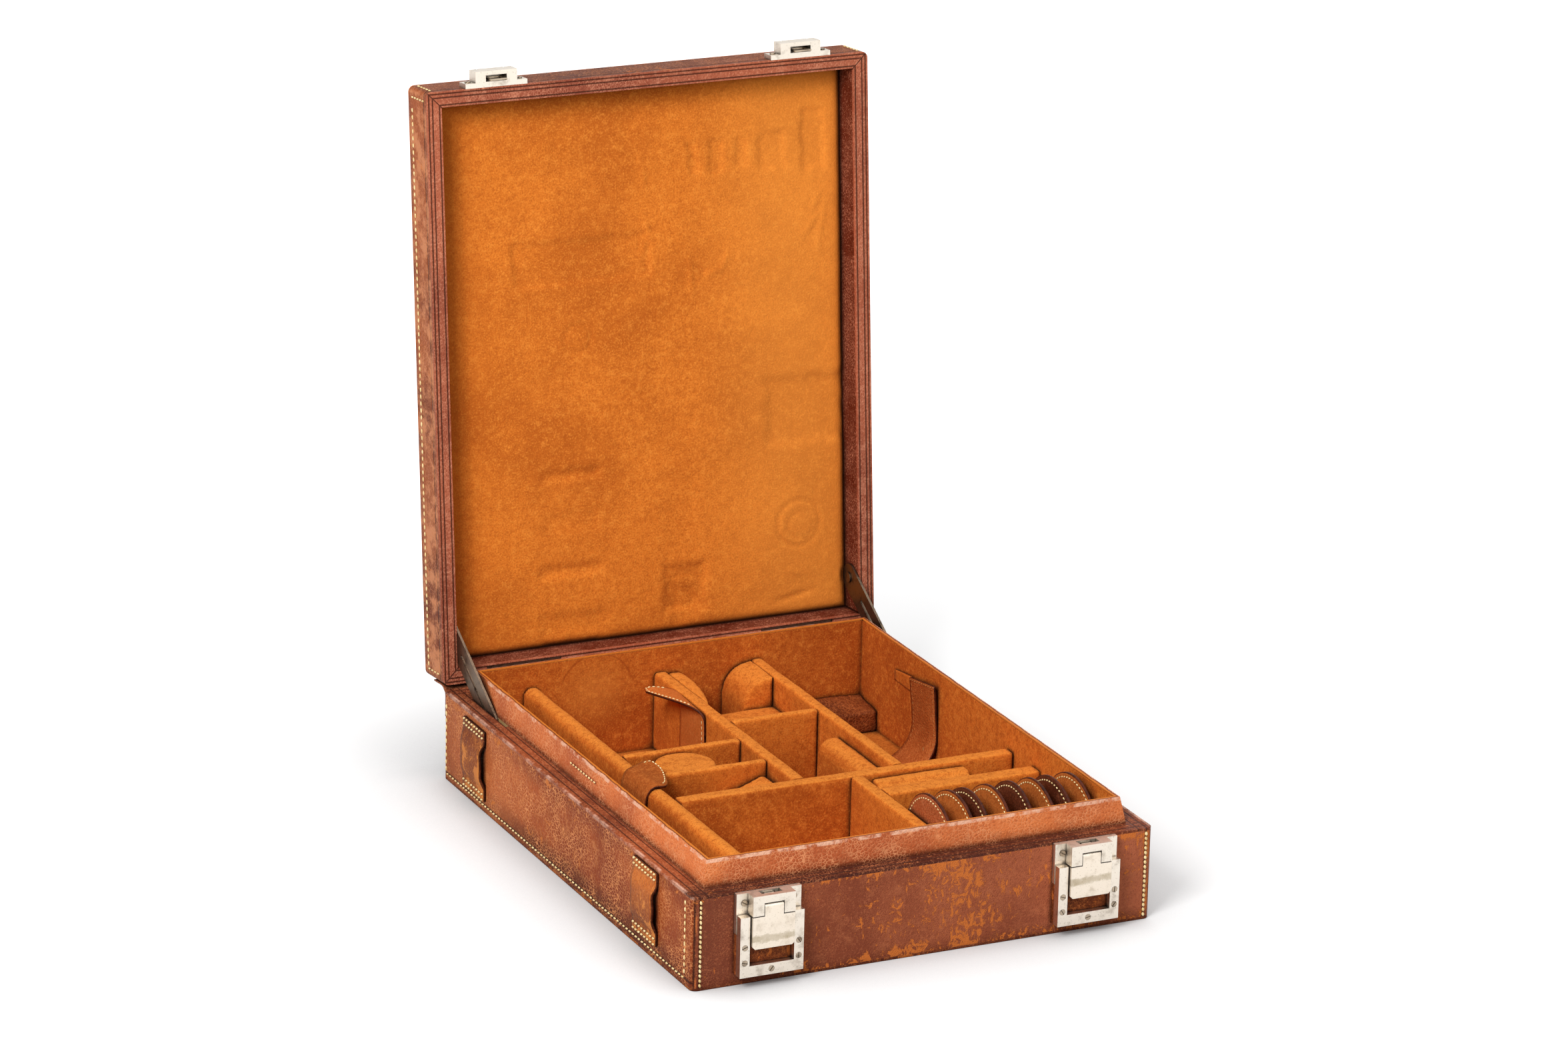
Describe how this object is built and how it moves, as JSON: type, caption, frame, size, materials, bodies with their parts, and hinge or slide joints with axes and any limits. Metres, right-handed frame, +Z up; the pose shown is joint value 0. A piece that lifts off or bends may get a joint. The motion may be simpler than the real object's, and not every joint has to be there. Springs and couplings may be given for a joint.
{
  "type": "camera case",
  "caption": "Leather camera case with a stay-held lid, toggle latches and a fitted suede interior with padded dividers and round filter pouches.",
  "frame": {"origin": "centre of the flat face that the case stands on", "axes": "+Z up, +Y towards the hinge at the back, +X to the right when facing the latches"},
  "size_m": [0.3044, 0.4494, 0.4449],
  "materials": {
    "red_leather": "worn grained leather",
    "tan_leather": "lighter crackled leather",
    "suede": "soft nap",
    "wood": "plain sawn boards",
    "nickel": "worn nickel plate",
    "bronze": "dark toned metal"
  },
  "bodies": {
    "base": {"base_carcass": "wood", "base_front_leather": "red_leather", "base_back_leather": "red_leather", "base_left_leather": "red_leather", "base_right_leather": "red_leather", "base_bottom_leather": "red_leather", "ledge_leather": "red_leather", "inner_frame": "wood", "lip_leather": "tan_leather", "base_lining": "suede", "base_floor_lining": "suede", "rolled_divider": "suede", "middle_divider": "suede", "right_divider": "suede", "front_cross_divider": "suede", "back_cross_divider": "suede", "short_cross_divider": "suede", "centre_cross_divider": "suede", "filter_bay_divider": "suede", "filter_rail": "suede", "lens_rest_pad": "suede", "small_well_pad": "suede", "half_round_pad": "suede", "round_fronted_pad": "suede", "back_well_pad": "suede", "centre_well_pad": "suede", "stepped_pad": "suede", "corner_block": "red_leather", "wall_strap": "tan_leather", "long_pull_tab": "tan_leather", "short_pull_tab": "tan_leather", "filter_pouches": "suede", "keeper_loops": "tan_leather", "left_latch_housing": "nickel", "right_latch_housing": "nickel", "latch_frames": "nickel", "latch_packings": "red_leather", "latch_pins": "nickel", "latch_springs": "nickel", "base_screws": "nickel", "hinge_base_leaves": "bronze", "hinge_pins": "bronze"},
    "lid": {"lid_carcass": "wood", "lid_top_leather": "red_leather", "lid_front_leather": "red_leather", "lid_back_leather": "red_leather", "lid_left_leather": "red_leather", "lid_right_leather": "red_leather", "lid_rim_leather": "tan_leather", "lid_padded_panel": "suede", "lid_screws": "nickel", "left_catch": "nickel", "right_catch": "nickel", "strikers": "nickel", "hinge_lid_leaves": "bronze", "stay_rivets": "bronze"},
    "left_stay": {"left_stay": "bronze"},
    "right_stay": {"right_stay": "bronze"},
    "left_flap": {"left_latch_flap": "nickel"},
    "right_flap": {"right_latch_flap": "nickel"}
  },
  "joints": [
    {"name": "lid_hinge", "type": "hinge", "parent": "base", "child": "lid", "pos_m": [0, 0.1893, 0.059], "axis": [1, 0, 0], "range_deg": [0, 94.9]},
    {"name": "left_stay_pivot", "type": "hinge", "parent": "lid", "child": "left_stay", "pos_m": [-0.139, 0.20349, 0.09101], "axis": [1, 0, 0], "range_deg": [-83, 0]},
    {"name": "right_stay_pivot", "type": "hinge", "parent": "lid", "child": "right_stay", "pos_m": [0.139, 0.20349, 0.09101], "axis": [1, 0, 0], "range_deg": [-83, 0]},
    {"name": "left_flap_hinge", "type": "hinge", "parent": "base", "child": "left_flap", "pos_m": [-0.1034, -0.1969, 0.0505], "axis": [-1, 0, 0], "range_deg": [-8, 75]},
    {"name": "right_flap_hinge", "type": "hinge", "parent": "base", "child": "right_flap", "pos_m": [0.1034, -0.1969, 0.0505], "axis": [-1, 0, 0], "range_deg": [-8, 75]}
  ],
  "couplings": [
    {"joint": "left_stay_pivot", "follows": "lid_hinge", "ratio": -0.8746},
    {"joint": "right_stay_pivot", "follows": "lid_hinge", "ratio": -0.8746}
  ]
}
